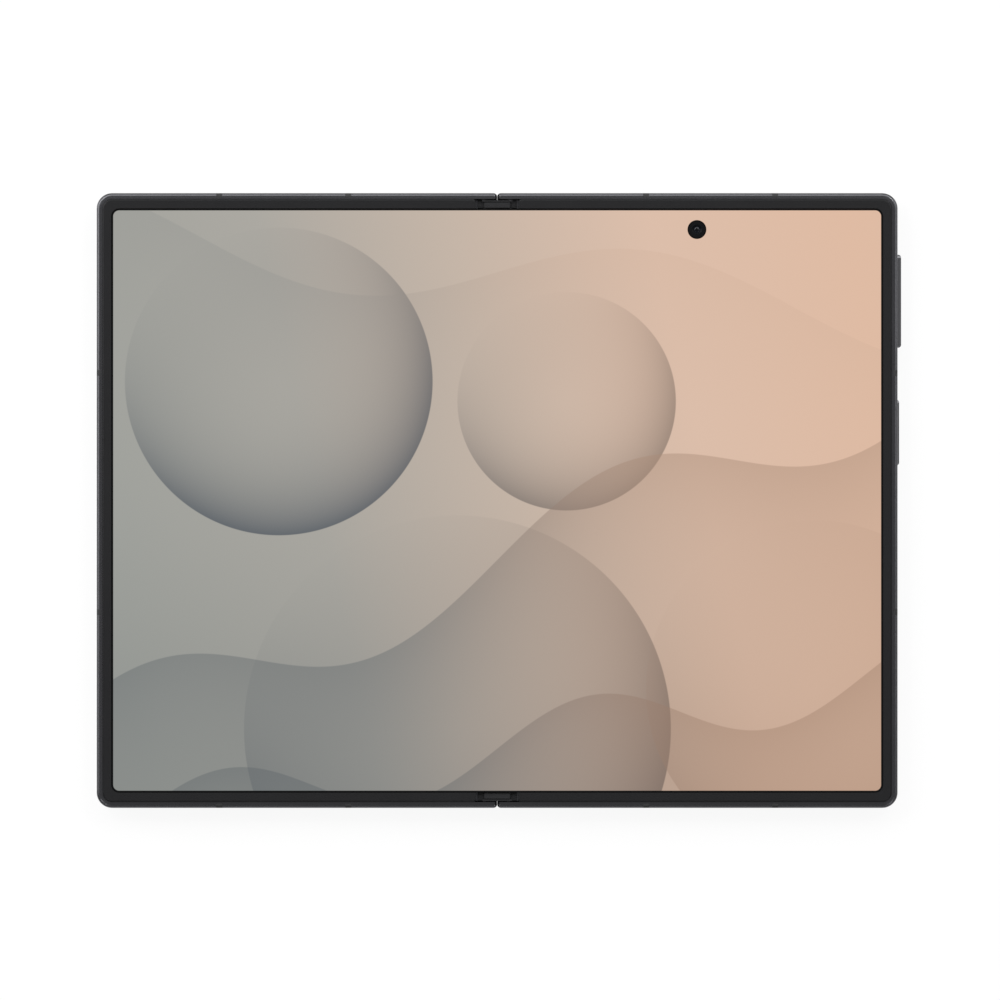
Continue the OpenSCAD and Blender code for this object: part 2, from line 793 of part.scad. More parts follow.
module card_reader() {
  color([0.6, 0.6, 0.62]) difference() {
    block(-sim_x - 6.4, -sim_x + 6.4, 3 - hh, 18.6 - hh, z0 + 1.4, z0 + 2.76);
    block(-sim_x - 5.7, -sim_x + 5.7, -hh, 18 - hh, sim_z - 0.5, sim_z + 0.5);
  }
}

// ---- what is drawn ----

main_frame();
cover_frame();
main_antenna_bands();
cover_antenna_bands();
main_bezel();
cover_bezel();
main_rear_glass();
camera_island();
lens_rings();
lens_glasses();
camera_modules();
flash_lens();
cover_glass();
cover_display();
cover_camera();
main_display_panel();
cover_display_panel();
fold_strip();
fold_backing();
selfie_camera();
spine_cover();
hinge_bases();
hinge_end_caps();
main_hinge_brackets();
cover_hinge_brackets();
bracket_screws_main();
bracket_screws_cover();
gear_pins();
main_sync_arm();
main_idler_gear();
cover_idler_gear();
cover_sync_arm();
flex_cables();
volume_key();
key_pivot_pin();
side_key();
key_switches();
sim_tray();
card_reader();
usb_c_socket();
mainboard();
board_shields();
board_screws();
sub_board();
cover_board();
main_battery();
cover_battery();
charging_coil();
main_speaker();
cover_speaker();
vibration_motor();
closing_magnets_main();
closing_magnets_cover();
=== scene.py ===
import math

import bmesh
import bpy
from mathutils import Matrix, Vector


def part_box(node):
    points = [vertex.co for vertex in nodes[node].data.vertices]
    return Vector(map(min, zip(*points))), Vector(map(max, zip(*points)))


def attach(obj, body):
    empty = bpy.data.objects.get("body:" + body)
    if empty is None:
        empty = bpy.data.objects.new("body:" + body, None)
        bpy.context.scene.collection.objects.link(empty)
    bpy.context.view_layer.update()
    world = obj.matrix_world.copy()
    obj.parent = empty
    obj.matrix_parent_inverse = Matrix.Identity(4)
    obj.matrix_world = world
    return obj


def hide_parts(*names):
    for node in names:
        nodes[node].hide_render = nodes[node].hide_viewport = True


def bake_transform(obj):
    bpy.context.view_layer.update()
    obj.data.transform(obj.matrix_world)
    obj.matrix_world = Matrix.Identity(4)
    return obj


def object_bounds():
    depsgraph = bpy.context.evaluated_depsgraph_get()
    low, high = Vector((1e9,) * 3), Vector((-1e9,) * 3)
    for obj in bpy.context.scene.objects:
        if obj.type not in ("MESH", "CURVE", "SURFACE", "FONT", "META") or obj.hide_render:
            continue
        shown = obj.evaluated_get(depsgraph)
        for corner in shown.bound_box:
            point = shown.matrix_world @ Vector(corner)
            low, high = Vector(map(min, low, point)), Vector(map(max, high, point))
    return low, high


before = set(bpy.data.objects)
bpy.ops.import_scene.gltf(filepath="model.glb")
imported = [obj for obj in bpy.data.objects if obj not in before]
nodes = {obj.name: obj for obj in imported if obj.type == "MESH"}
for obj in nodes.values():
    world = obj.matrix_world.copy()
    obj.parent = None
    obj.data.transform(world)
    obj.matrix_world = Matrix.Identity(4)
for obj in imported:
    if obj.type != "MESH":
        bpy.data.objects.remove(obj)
cad_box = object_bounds()

# ---- metal frames of both halves ----
# Each half is one milled aluminium frame, blasted and anodised graphite. Its rim wraps the glass and
# the bezel. The blasting leaves a fine sparkle, and the rim's top is crowned, so its edge catches light.


class Value:
    """One socket of a material. Sums and products on it add Math nodes to its tree."""

    def __init__(self, tree, socket):
        self.tree = tree
        self.socket = socket

    def make(self, kind, settings=None, inputs=None, out=0):
        """Adds a node: its settings first, then the values or links of its sockets."""
        node = self.tree.nodes.new(kind)
        for key, value in (settings or {}).items():
            if key == "stops":
                ramp = node.color_ramp
                while len(ramp.elements) < len(value):
                    ramp.elements.new(0.5)
                for element, (place, colour) in zip(ramp.elements, value):
                    element.position = place
                    element.color = (*colour, 1)
            else:
                setattr(node, key, value)
        for key, value in (inputs or {}).items():
            if isinstance(value, Value):
                self.tree.links.new(value.socket, node.inputs[key])
            else:
                node.inputs[key].default_value = value
        return Value(self.tree, node.outputs[out])

    def math(self, operation, *others):
        return self.make("ShaderNodeMath", {"operation": operation}, dict(enumerate((self, *others))))

    def part(self, number):
        """Another output of the same node, such as the y of a split vector."""
        return Value(self.tree, self.socket.node.outputs[number])

    def __add__(self, other):
        return self.math("ADD", other)

    def __sub__(self, other):
        return self.math("SUBTRACT", other)

    def __rsub__(self, other):
        return self * -1 + other

    def __mul__(self, other):
        return self.math("MULTIPLY", other)

    def __truediv__(self, other):
        return self.math("DIVIDE", other)

    __radd__ = __add__
    __rmul__ = __mul__

    def step(self, low, high):
        """0 below low, 1 above high, smooth between."""
        return self.make("ShaderNodeMapRange", {"interpolation_type": "SMOOTHSTEP"},
                         {"Value": self, "From Min": low, "From Max": high})

    def spread(self, low, high):
        """Turns a 0 to 1 pattern into a range."""
        return self * (high - low) + low


def finish(name, **fixed):
    """A new material, its surface shader with the given fixed numbers, and its place in millimetres."""
    material = bpy.data.materials.new(name)
    material.use_nodes = True
    tree = material.node_tree
    surface = tree.nodes["Principled BSDF"]
    for key, value in fixed.items():
        surface.inputs[key.replace("_", " ")].default_value = value
    spot = Value(tree, tree.nodes.new("ShaderNodeTexCoord").outputs["Object"])
    place = spot.make("ShaderNodeVectorMath", {"operation": "SCALE"}, {0: spot, "Scale": 1000.0})
    return material, surface, place


def feed(surface, **links):
    """Links values to the surface shader's sockets."""
    for key, value in links.items():
        value.tree.links.new(value.socket, surface.inputs[key.replace("_", " ")])


def grain(place, scale, detail=2.0, rough=0.5, stretch=None):
    """Noise on the piece, scale in waves per millimetre."""
    if stretch:
        place = place.make("ShaderNodeVectorMath", {"operation": "MULTIPLY"}, {0: place, 1: stretch})
    return place.make("ShaderNodeTexNoise", {}, {"Vector": place, "Scale": scale, "Detail": detail,
                                                 "Roughness": rough})


def tint(factor, low, high):
    """Mixes two colours by a factor. Either may be a link."""
    return factor.make("ShaderNodeMix", {"data_type": "RGBA"}, {0: factor, 6: low, 7: high}, out=2)


def dents(height, strength, depth):
    """Bump of the given depth in millimetres."""
    return height.make("ShaderNodeBump", {}, {"Height": height, "Strength": strength,
                                              "Distance": depth / 1000})


def wear(node_names, material):
    """Puts a material on CAD nodes."""
    for name in node_names:
        slots = nodes[name].data.materials
        slots.clear()
        slots.append(material)


def rgb(red, green, blue):
    """A colour as a screen shows it, 0 to 255, turned to light."""
    return tuple((c / 255 / 12.92 if c < 10.3 else ((c / 255 + 0.055) / 1.055) ** 2.4)
                 for c in (red, green, blue)) + (1.0,)


frame_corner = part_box("main_frame")[1]
half_wide = round(frame_corner[0] * 1000, 2)
half_high = round(frame_corner[1] * 1000, 2)
corner_round = 3.1


def length(x, y):
    return (x * x + y * y).math("SQRT")


def depth_in(place):
    """How far a place lies inside the rounded outline of the open phone, in millimetres."""
    x = place.make("ShaderNodeSeparateXYZ", {}, {0: place})
    over_x = x.math("ABSOLUTE") - (half_wide - corner_round)
    over_y = x.part(1).math("ABSOLUTE") - (half_high - corner_round)
    outside = length(over_x.math("MAXIMUM", 0.0), over_y.math("MAXIMUM", 0.0))
    return corner_round - outside - over_x.math("MAXIMUM", over_y).math("MINIMUM", 0.0)


def blasted(name, dark, light, roughness, crown=0.0):
    """Blasted and anodised metal. A crown lets the rim's flat top fall away towards the edge."""
    crown_start, crown_end = 0.4, 1.3
    pit_depth = 0.001
    material, surface, place = finish(name, Metallic=1.0)
    sparkle = grain(place, 9.0, 3.0, 0.6)
    cloud = grain(place, 0.05, 2.0)
    relief = sparkle * pit_depth
    if crown:
        relief = relief + depth_in(place).step(crown_start, crown_end) * crown
    feed(surface,
         Base_Color=tint(sparkle * 0.6 + cloud * 0.4, dark, light),
         Roughness=sparkle.spread(roughness - 0.06, roughness + 0.08),
         Normal=dents(relief, 1.0, 1.0))
    return material


wear(["main_frame", "cover_frame"],
     blasted("graphite_anodised", rgb(74, 74, 77), rgb(95, 95, 98), 0.27, 0.05))

# ---- screens in the sound holes ----
# A disc of woven steel is pressed half a millimetre deep into each sound hole of the loudspeaker and of
# the earpiece, to keep dust out. The weave is cut out of the disc by its transparency.


def lathe(name, outline):
    """A mesh turned about z from an outline of radius and height in millimetres, closed on the axis."""
    turns = 48
    mesh = bpy.data.meshes.new(name)
    wheel = bmesh.new()
    last = None
    for radius, height in outline:
        if radius == 0:
            ring = [wheel.verts.new((0, 0, height / 1000))]
        else:
            ring = [wheel.verts.new((radius * math.cos(k * math.tau / turns) / 1000,
                                     radius * math.sin(k * math.tau / turns) / 1000, height / 1000))
                    for k in range(turns)]
        if last:
            for k in range(turns):
                corners = [last[k % len(last)], last[(k + 1) % len(last)],
                           ring[(k + 1) % len(ring)], ring[k % len(ring)]]
                wheel.faces.new(list(dict.fromkeys(corners)))
        last = ring
    bmesh.ops.recalc_face_normals(wheel, faces=wheel.faces[:])
    wheel.to_mesh(mesh)
    wheel.free()
    return mesh


def copies(name, mesh, spots, turn=None, smooth=False):
    """One piece made of copies of a mesh, each turned and then moved to its spot in millimetres."""
    joined = bmesh.new()
    for spot in spots:
        first = len(joined.verts)
        joined.from_mesh(mesh)
        joined.verts.ensure_lookup_table()
        for vertex in joined.verts[first:]:
            if turn:
                vertex.co.rotate(turn)
            vertex.co += Vector(spot) / 1000
    whole = bpy.data.meshes.new(name)
    joined.to_mesh(whole)
    joined.free()
    for face in whole.polygons:
        face.use_smooth = smooth
    bpy.data.meshes.remove(mesh)
    piece = bpy.data.objects.new(name, whole)
    bpy.context.scene.collection.objects.link(piece)
    return piece


def wave(value, pitch):
    """A sine wave along a value, with one crest to each pitch, from -1 to 1."""
    return (value * (math.tau / pitch)).math("SINE")


wire_pitch = 0.16
woven, surface, place = finish("woven_steel_screen", Metallic=1.0)
across = place.make("ShaderNodeSeparateXYZ", {}, {0: place})
warp = wave(across, wire_pitch).step(-0.3, 0.1)
weft = wave(across.part(2), wire_pitch).step(-0.3, 0.1)
feed(surface, Base_Color=tint(warp, rgb(70, 70, 73), rgb(96, 96, 99)), Roughness=warp.spread(0.34, 0.48),
     Alpha=warp.math("MAXIMUM", weft))

hole_z, hole_pitch, middle_gap = 3.6, 2.2, 1.2
speaker_holes = [56.0 + hole_pitch * i + (middle_gap if i > 2 else 0.0) for i in range(6)]
earpiece_holes = [-60.0 - hole_pitch * i for i in range(4)]
screen_y = half_high - 0.5
screen_radius, half_thick = 0.59, 0.03
disc = [(0, -half_thick), (screen_radius, -half_thick), (screen_radius, half_thick), (0, half_thick)]
upright = Matrix.Rotation(math.pi / 2, 3, "X")
for name, body, spots in [
    ("speaker_screens", "main_half", [(x, -screen_y, hole_z) for x in speaker_holes]),
    ("earpiece_screens", "cover_half", [(x, screen_y, hole_z) for x in earpiece_holes]),
]:
    screens = copies(name, lathe(name, disc), spots, upright)
    screens.data.materials.append(woven)
    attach(screens, body)

# ---- antenna bands ----
# Plastic that splits the metal rim, so that radio can pass. It is moulded in before the rim is milled,
# so it sits flush with the metal, a little darker and duller.

band_plastic, surface, place = finish("antenna_band_plastic", IOR=1.48)
speck = grain(place, 14.0, 2.0)
feed(surface, Base_Color=tint(speck, rgb(20, 20, 22), rgb(29, 29, 31)), Roughness=speck.spread(0.48, 0.62),
     Normal=dents(speck, 0.1, 0.015))
wear(["main_antenna_bands", "cover_antenna_bands"], band_plastic)

# ---- raised bezels ----
# A frame of soft plastic is glued round each half of the inner display and stands proud of it, so that
# the two halves rest on it when the phone is shut. Its skin is matte, and glossier at its outer edge.

bezel_skin, surface, place = finish("bezel_soft_plastic", IOR=1.45, Specular_IOR_Level=0.26)
pores = grain(place, 7.0, 4.0, 0.65)
smear = grain(place, 0.12, 3.0)
outer_edge = 1.45
handled = depth_in(place).step(outer_edge, outer_edge + 0.15).spread(0.5, 1.0)
feed(surface, Base_Color=tint(pores * 0.5 + smear * 0.5, rgb(12, 12, 14), rgb(19, 19, 21)),
     Roughness=smear.spread(0.5, 0.66) * handled, Normal=dents(pores, 0.18, 0.02))
wear(["main_bezel", "cover_bezel"], bezel_skin)

# ---- inner display ----
# One flexible panel lies across both halves. Two flat parts are glued to the halves and a strip in the
# middle bends. The screen is lit and shows a plain wallpaper of soft discs and slow waves.


def middle(node):
    """The centre of a CAD node in millimetres, to a hundredth."""
    low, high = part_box(node)
    return [round((a + b) * 500, 2) for a, b in zip(low, high)]


lit_half_wide, lit_half_high, lit_corner = 77.35, 58.45, 1.2
camera_x, camera_y, _ = middle("selfie_camera")
camera_hole = 1.9


def wallpaper(flat):
    """Colour of the picture at a flat place in millimetres: discs and waves that shade the sheet."""
    x = flat.make("ShaderNodeSeparateXYZ", {}, {0: flat})
    y = x.part(1)
    across = (x + 0.22 * y) / 165 + 0.5
    sheet = across.make("ShaderNodeValToRGB",
                        {"stops": [(0.0, rgb(158, 160, 155)[:3]), (0.28, rgb(170, 167, 160)[:3]),
                                   (0.52, rgb(196, 180, 166)[:3]), (0.76, rgb(219, 189, 169)[:3]),
                                   (1.0, rgb(222, 186, 162)[:3])]},
                        {"Fac": across})
    low = (0.5 - y / (2 * lit_half_high)).step(0.35, 1.15)
    sheet = tint(low * 0.5, sheet, tint(across.step(0.2, 0.8), rgb(124, 128, 126), rgb(184, 152, 130)))
    # discs: centre, radius, how far the shade fades inwards, its strength and colours
    for cx, cy, radius, fade, strength, cool, warm in [
        (-44.0, 24.0, 31.0, 15.0, 0.86, (78, 86, 95), (112, 106, 101)),
        (-8.0, -46.0, 43.0, 24.0, 0.84, (74, 82, 92), (118, 104, 95)),
        (14.0, 20.0, 22.0, 13.0, 0.74, (88, 92, 97), (128, 112, 101)),
        (64.0, -38.0, 34.0, 20.0, 0.6, (110, 104, 99), (160, 128, 108)),
    ]:
        dx = x - cx
        dy = y - cy
        reach = length(dx, dy)
        inside = 1 - reach.step(radius - 0.12, radius + 0.12)
        depth = (radius - reach) / fade
        shade = inside * (depth * -1.6).math("EXPONENT")
        turn = (dx * 0.5 - dy * 0.86) / radius
        shade = shade * turn.step(-1.1, 0.7) * strength
        sheet = tint(shade, sheet, tint(across.step(0.3, 0.75), rgb(*cool), rgb(*warm)))
    # waves: height at the middle, slope, span of one wave, swing, fade, strength and colours
    for rise, slope, span, swing, fade, strength, cool, warm in [
        (-12.0, 0.42, 96.0, 9.0, 26.0, 0.5, (100, 106, 109), (168, 138, 118)),
        (-50.0, 0.2, 74.0, 7.0, 20.0, 0.46, (92, 99, 103), (158, 127, 107)),
        (46.0, -0.12, 120.0, 8.0, 20.0, 0.22, (132, 135, 134), (204, 172, 150)),
    ]:
        crest = wave(x, span) * swing + slope * x + rise
        below = crest - y
        shade = below.step(-0.12, 0.12) * (below / -fade).math("EXPONENT")
        sheet = tint(shade * strength, sheet, tint(across.step(0.3, 0.75), rgb(*cool), rgb(*warm)))
    return sheet


def screen_glow(name, use_map=False):
    """Lit screen under a coated film, black beyond the lit area and in the camera's hole. With a map it
    takes its flat place from the mesh, so the picture bends with the sheet."""
    material, surface, place = finish(name, Base_Color=rgb(9, 9, 10), Specular_IOR_Level=0.22,
                                      Emission_Strength=1.0)
    flat = place
    if use_map:
        sheet_map = place.make("ShaderNodeUVMap", {"uv_map": "flat"})
        flat = place.make("ShaderNodeVectorMath", {"operation": "SCALE"}, {0: sheet_map, "Scale": 1000.0})
    x = flat.make("ShaderNodeSeparateXYZ", {}, {0: flat})
    y = x.part(1)
    over_x = (x.math("ABSOLUTE") - (lit_half_wide - lit_corner)).math("MAXIMUM", 0)
    over_y = (y.math("ABSOLUTE") - (lit_half_high - lit_corner)).math("MAXIMUM", 0)
    lit = 1 - length(over_x, over_y).step(lit_corner - 0.05, lit_corner + 0.05)
    lit = lit * length(x - camera_x, y - camera_y).step(camera_hole - 0.04, camera_hole + 0.04)
    smudge = grain(place, 0.06, 3.0, 0.55)
    feed(surface, Emission_Color=tint(lit, (0.0, 0.0, 0.0, 1.0), wallpaper(flat)),
         Roughness=smudge.spread(0.1, 0.17))
    return material


wear(["main_display_panel", "cover_display_panel"], screen_glow("inner_screen_lit"))


def bending_half(node, name, side, reach, cuts):
    """Half of a CAD piece that crosses the fold, sliced along the fold so that it can bend. Its outer
    end is drawn to the given reach, and its flat place is kept as a map."""
    sheet = bmesh.new()
    sheet.from_mesh(nodes[node].data)
    bmesh.ops.remove_doubles(sheet, verts=sheet.verts, dist=1e-7)

    def everything():
        return sheet.verts[:] + sheet.edges[:] + sheet.faces[:]

    cut = bmesh.ops.bisect_plane(sheet, geom=everything(), plane_co=(0, 0, 0), plane_no=(side, 0, 0),
                                 clear_inner=True)
    rim = [e for e in cut["geom_cut"] if isinstance(e, bmesh.types.BMEdge)]
    bmesh.ops.holes_fill(sheet, edges=rim)
    end = max(abs(vertex.co.x) for vertex in sheet.verts)
    for vertex in sheet.verts:
        if abs(vertex.co.x) > end - 1e-6:
            vertex.co.x = side * reach / 1000
    for place in cuts:
        bmesh.ops.bisect_plane(sheet, geom=everything(), plane_co=(side * place / 1000, 0, 0),
                               plane_no=(1, 0, 0))
    mesh = bpy.data.meshes.new(name)
    flat = sheet.loops.layers.uv.new("flat")
    for face in sheet.faces:
        for loop in face.loops:
            loop[flat].uv = loop.vert.co.xy
    sheet.to_mesh(mesh)
    sheet.free()
    piece = bpy.data.objects.new(name, mesh)
    bpy.context.scene.collection.objects.link(piece)
    return piece


def bend_over_fold(node, material, reach, cuts):
    """Both halves of a piece that crosses the fold, each sliced off at the fold line, cut across at the
    given places and drawn out from the fold line to the given end, with the given material."""
    for side, body, word in ((1, "main_half", "right"), (-1, "cover_half", "left")):
        piece = bending_half(node, f"{node}_{word}", side, reach, cuts)
        piece.data.materials.append(material)
        for face in piece.data.polygons:
            face.use_smooth = False
        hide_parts(node)
        if side > 0:
            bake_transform(piece)
        else:
            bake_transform(piece)


strip_reach = 5.0
bend_over_fold("fold_strip", screen_glow("fold_screen_lit", use_map=True),
               strip_reach, [0.25 * i for i in range(1, 20)])

# ---- backing of the bending strip ----
# A thin lattice of etched steel lies under the strip, holds it flat and bends with it. Its slots run
# along the fold.


def steel(name, dark, light, roughness, stretch=(1.0, 0.06, 1.0)):
    """Machined or etched steel with fine tool lines."""
    material, surface, place = finish(name, Metallic=1.0)
    lines = grain(place, 6.0, 3.0, 0.6, stretch)
    cloud = grain(place, 0.3, 2.0)
    feed(surface, Base_Color=tint(lines * 0.5 + cloud * 0.5, dark, light),
         Roughness=lines.spread(roughness - 0.06, roughness + 0.1), Normal=dents(lines, 0.15, 0.01))
    return material


lattice_steel = steel("etched_lattice_steel", rgb(128, 128, 132), rgb(160, 160, 163), 0.38)
lattice_reach = 4.98
bend_over_fold("fold_backing", lattice_steel, lattice_reach,
               [0.5 * i + 0.03 for i in range(1, 10)])

# ---- hinge spine ----
# An extruded aluminium cover runs behind the fold and shows as a narrow band when the phone is shut.
# Steel blocks inside it guide the arc rails of the brackets, and black plastic caps close its ends.

wear(["spine_cover"], blasted("spine_anodised", rgb(74, 74, 77), rgb(94, 94, 97), 0.32))
wear(["hinge_bases", "main_hinge_brackets", "cover_hinge_brackets"],
     steel("hinge_steel_milled", rgb(140, 140, 144), rgb(176, 176, 180), 0.32))


def moulded(name, dark, light, roughness, **fixed):
    """Moulded plastic with a fine spark-eroded skin."""
    material, surface, place = finish(name, IOR=1.47, **fixed)
    skin = grain(place, 6.0, 3.0, 0.6)
    cloud = grain(place, 0.2, 2.0)
    feed(surface, Base_Color=tint(skin * 0.5 + cloud * 0.5, dark, light),
         Roughness=skin.spread(roughness - 0.05, roughness + 0.08), Normal=dents(skin, 0.15, 0.02))
    return material


wear(["hinge_end_caps"],
     moulded("end_cap_plastic", rgb(20, 20, 22), rgb(30, 30, 32), 0.5, Specular_IOR_Level=0.3))

# ---- gear train ----
# Four sintered steel gears in a row on ground pins keep both halves at the same angle. The outer two
# carry flat arms that slide in pockets of the halves. Pins and screws are plated.

wear(["main_sync_arm", "cover_sync_arm"],
     steel("sync_arm_steel", rgb(150, 150, 153), rgb(186, 186, 188), 0.3, (0.06, 1.0, 1.0)))
wear(["main_idler_gear", "cover_idler_gear"],
     blasted("sintered_gear_steel", rgb(150, 146, 134), rgb(182, 178, 164), 0.42))


def bright(name, dark, light, roughness):
    """Turned and plated metal with faint rings of the tool."""
    material, surface, place = finish(name, Metallic=1.0)
    rings = grain(place, 3.0, 2.0, 0.5, (1.0, 1.0, 8.0))
    feed(surface, Base_Color=tint(rings, dark, light), Roughness=rings.spread(roughness, roughness + 0.1),
         Normal=dents(rings, 0.06, 0.01))
    return material


wear(["gear_pins", "bracket_screws_main", "bracket_screws_cover", "board_screws", "key_pivot_pin"],
     bright("plated_screw_steel", rgb(188, 188, 190), rgb(214, 214, 216), 0.16))

# ---- cables across the fold ----
# Two flat polyimide ribbons with copper tracks join the boards of the halves. They pass through the
# spine and bend with the fold as the display does. The key switches are made of the same film.

ribbon_film, surface, place = finish("ribbon_film", IOR=1.6, Coat_Roughness=0.15)
row = place.make("ShaderNodeSeparateXYZ", {}, {0: place}).part(1)
track_pitch = 0.45
tracks = wave(row, track_pitch).step(-0.1, 0.1)
mottle = grain(place, 2.0, 3.0)
feed(surface, Base_Color=tint(tracks, rgb(112, 66, 22), rgb(158, 98, 40)),
     Roughness=mottle.spread(0.28, 0.42), Coat_Weight=tracks.spread(0.2, 0.5),
     Normal=dents(tracks, 0.3, 0.02))
cable_reach = round(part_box("flex_cables")[1][0] * 1000, 2)
bend_over_fold("flex_cables", ribbon_film, cable_reach,
               [0.4 * i + 0.07 for i in range(1, 15)])
wear(["key_switches"], ribbon_film)

# ---- keys ----
# The volume rocker and the side key are milled from the frame's alloy and anodised a little brighter.
# They sit in slots with a hair of play all round. The side key reads prints, so it has a clear coat.

wear(["volume_key"], blasted("key_anodised", rgb(108, 108, 111), rgb(132, 132, 135), 0.32))

print_pad, surface, place = finish("side_key_coated", Metallic=1.0, Coat_Roughness=0.1)
fine = grain(place, 9.0, 3.0, 0.6)
feed(surface, Base_Color=tint(fine, rgb(98, 98, 101), rgb(120, 120, 123)), Roughness=fine.spread(0.3, 0.4),
     Coat_Weight=fine.spread(0.25, 0.35), Normal=dents(fine, 0.06, 0.01))
wear(["side_key"], print_pad)

# ---- card tray ----
# A milled tray with a window for the card slides in a reader of folded tin behind the rim. The shields
# of the boards and the case of the vibration motor are folded from the same tin.

wear(["sim_tray"], blasted("tray_anodised", rgb(80, 80, 83), rgb(102, 102, 105), 0.32))
tin = steel("folded_tin", rgb(172, 172, 176), rgb(204, 204, 207), 0.28, (0.1, 1.0, 1.0))
wear(["card_reader", "board_shields", "vibration_motor"], tin)

# ---- charging socket ----
# A drawn steel shell round a black moulded tongue. Twelve gold contacts are stamped and moulded into
# each face of the tongue.

socket_x, _, socket_z = middle("usb_c_socket")
tongue_half_wide, tongue_half_thick = 3.35, 0.35
drawn_shell, surface, place = finish("socket_shell_and_tongue", IOR=1.5, Specular_IOR_Level=0.3)
across = place.make("ShaderNodeSeparateXYZ", {}, {0: place})
beside = (across - socket_x).math("ABSOLUTE") - tongue_half_wide
above = (across.part(2) - socket_z).math("ABSOLUTE") - tongue_half_thick
tongue = 1 - beside.math("MAXIMUM", above).step(0.02, 0.06)
draw_lines = grain(place, 8.0, 3.0, 0.6, (1.0, 0.08, 1.0))
shell_colour = tint(draw_lines, rgb(150, 151, 154), rgb(178, 179, 182))
feed(surface, Base_Color=tint(tongue, shell_colour, rgb(16, 16, 17)), Metallic=1 - tongue,
     Roughness=tongue.spread(0.0, 0.18) + draw_lines.spread(0.26, 0.36))
wear(["usb_c_socket"], drawn_shell)

rows = bpy.data.node_groups.new("contact_row", "GeometryNodeTree")
for label, kind in (("Count", "NodeSocketInt"), ("Pitch", "NodeSocketFloat"), ("Width", "NodeSocketFloat"),
                    ("Length", "NodeSocketFloat"), ("Thickness", "NodeSocketFloat"),
                    ("Gap", "NodeSocketFloat"), ("Finish", "NodeSocketMaterial")):
    rows.interface.new_socket(label, in_out="INPUT", socket_type=kind)
rows.interface.new_socket("Geometry", in_out="OUTPUT", socket_type="NodeSocketGeometry")


def tree_node(tree, kind, inputs=None):
    """Adds a geometry node with the values or links of its sockets."""
    node = tree.nodes.new(kind)
    for key, value in (inputs or {}).items():
        if isinstance(value, bpy.types.NodeSocket):
            tree.links.new(value, node.inputs[key])
        else:
            node.inputs[key].default_value = value
    return node.outputs


# one contact is a bar, a row repeats it along x, and the row is repeated on the tongue's other face
given = tree_node(rows, "NodeGroupInput")
bar_size = tree_node(rows, "ShaderNodeCombineXYZ",
                     {0: given["Width"], 1: given["Length"], 2: given["Thickness"]})
bar = tree_node(rows, "GeometryNodeMeshCube", {"Size": bar_size[0]})
along = tree_node(rows, "ShaderNodeCombineXYZ", {0: given["Pitch"]})
row_line = tree_node(rows, "GeometryNodeMeshLine", {"Count": given["Count"], "Offset": along[0]})
one_row = tree_node(rows, "GeometryNodeInstanceOnPoints", {"Points": row_line[0], "Instance": bar[0]})
upper = tree_node(rows, "ShaderNodeCombineXYZ", {2: given["Gap"]})
face_line = tree_node(rows, "GeometryNodeMeshLine", {"Count": 2, "Offset": upper[0]})
both_rows = tree_node(rows, "GeometryNodeInstanceOnPoints",
                      {"Points": face_line[0], "Instance": one_row[0]})
solid = tree_node(rows, "GeometryNodeRealizeInstances", {0: both_rows[0]})
done = tree_node(rows, "GeometryNodeSetMaterial", {"Geometry": solid[0], "Material": given["Finish"]})
tree_node(rows, "NodeGroupOutput", {0: done[0]})


def grown(name, tree, origin, **sizes):
    """Runs a geometry tree once and keeps its mesh, moved to its origin in millimetres."""
    seedling = bpy.data.objects.new(name + "_seed", bpy.data.meshes.new(name + "_seed"))
    bpy.context.scene.collection.objects.link(seedling)
    modifier = seedling.modifiers.new("grow", "NODES")
    modifier.node_group = tree
    for socket in tree.interface.items_tree:
        if socket.in_out == "INPUT" and socket.name in sizes:
            modifier[socket.identifier] = sizes[socket.name]
    bpy.context.view_layer.update()
    evaluated = seedling.evaluated_get(bpy.context.evaluated_depsgraph_get())
    mesh = bpy.data.meshes.new_from_object(evaluated)
    bpy.data.objects.remove(seedling)
    for vertex in mesh.vertices:
        vertex.co += Vector(origin) / 1000
    mesh.name = name
    piece = bpy.data.objects.new(name, mesh)
    bpy.context.scene.collection.objects.link(piece)
    return piece


gold = bright("contact_gold", rgb(198, 158, 84), rgb(224, 186, 110), 0.2)
contact_count, contact_pitch = 12, 0.5
contact_wide, contact_long, contact_thick = 0.28, 3.5, 0.06
contact_y, contact_lift = -57.2, 0.36
first_contact = (socket_x - (contact_count - 1) / 2 * contact_pitch, contact_y, socket_z - contact_lift)
contacts = grown("socket_contacts", rows, first_contact, Count=contact_count, Pitch=contact_pitch / 1000,
                 Width=contact_wide / 1000, Length=contact_long / 1000, Thickness=contact_thick / 1000,
                 Gap=2 * contact_lift / 1000, Finish=gold)
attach(contacts, "main_half")

# ---- outer glass of the main half ----
# A sheet of toughened glass with a frosted, etched face, graphite coated on its inner side. It is glued
# into a seat in the frame and has an opening for the camera island.

frosted, surface, place = finish("frosted_rear_glass", IOR=1.5, Coat_IOR=1.5, Coat_Roughness=0.32)
frost = grain(place, 12.0, 4.0, 0.7)
haze = grain(place, 0.03, 2.0)
feed(surface, Base_Color=tint(frost * 0.3 + haze * 0.7, rgb(74, 75, 78), rgb(88, 89, 92)),
     Roughness=frost.spread(0.34, 0.46), Coat_Weight=haze.spread(0.25, 0.35),
     Normal=dents(frost, 0.06, 0.01))
wear(["main_rear_glass"], frosted)

# ---- rear camera island ----
# A milled pill with a flash and two cameras. Turned rings stand proud of the pill and hold the cover
# glasses, and under each glass the first lens bulges out of its barrel. The barrels, the cover camera
# and the speakers are moulded in the same black plastic.

wear(["camera_island"], blasted("island_anodised", rgb(62, 62, 65), rgb(82, 82, 85), 0.36))
lens_x, pair_y, _ = middle("camera_modules")
half_apart = 7.5


def ripple(value, pitch):
    """A wave from 0 to 1."""
    return wave(value, pitch) * 0.5 + 0.5


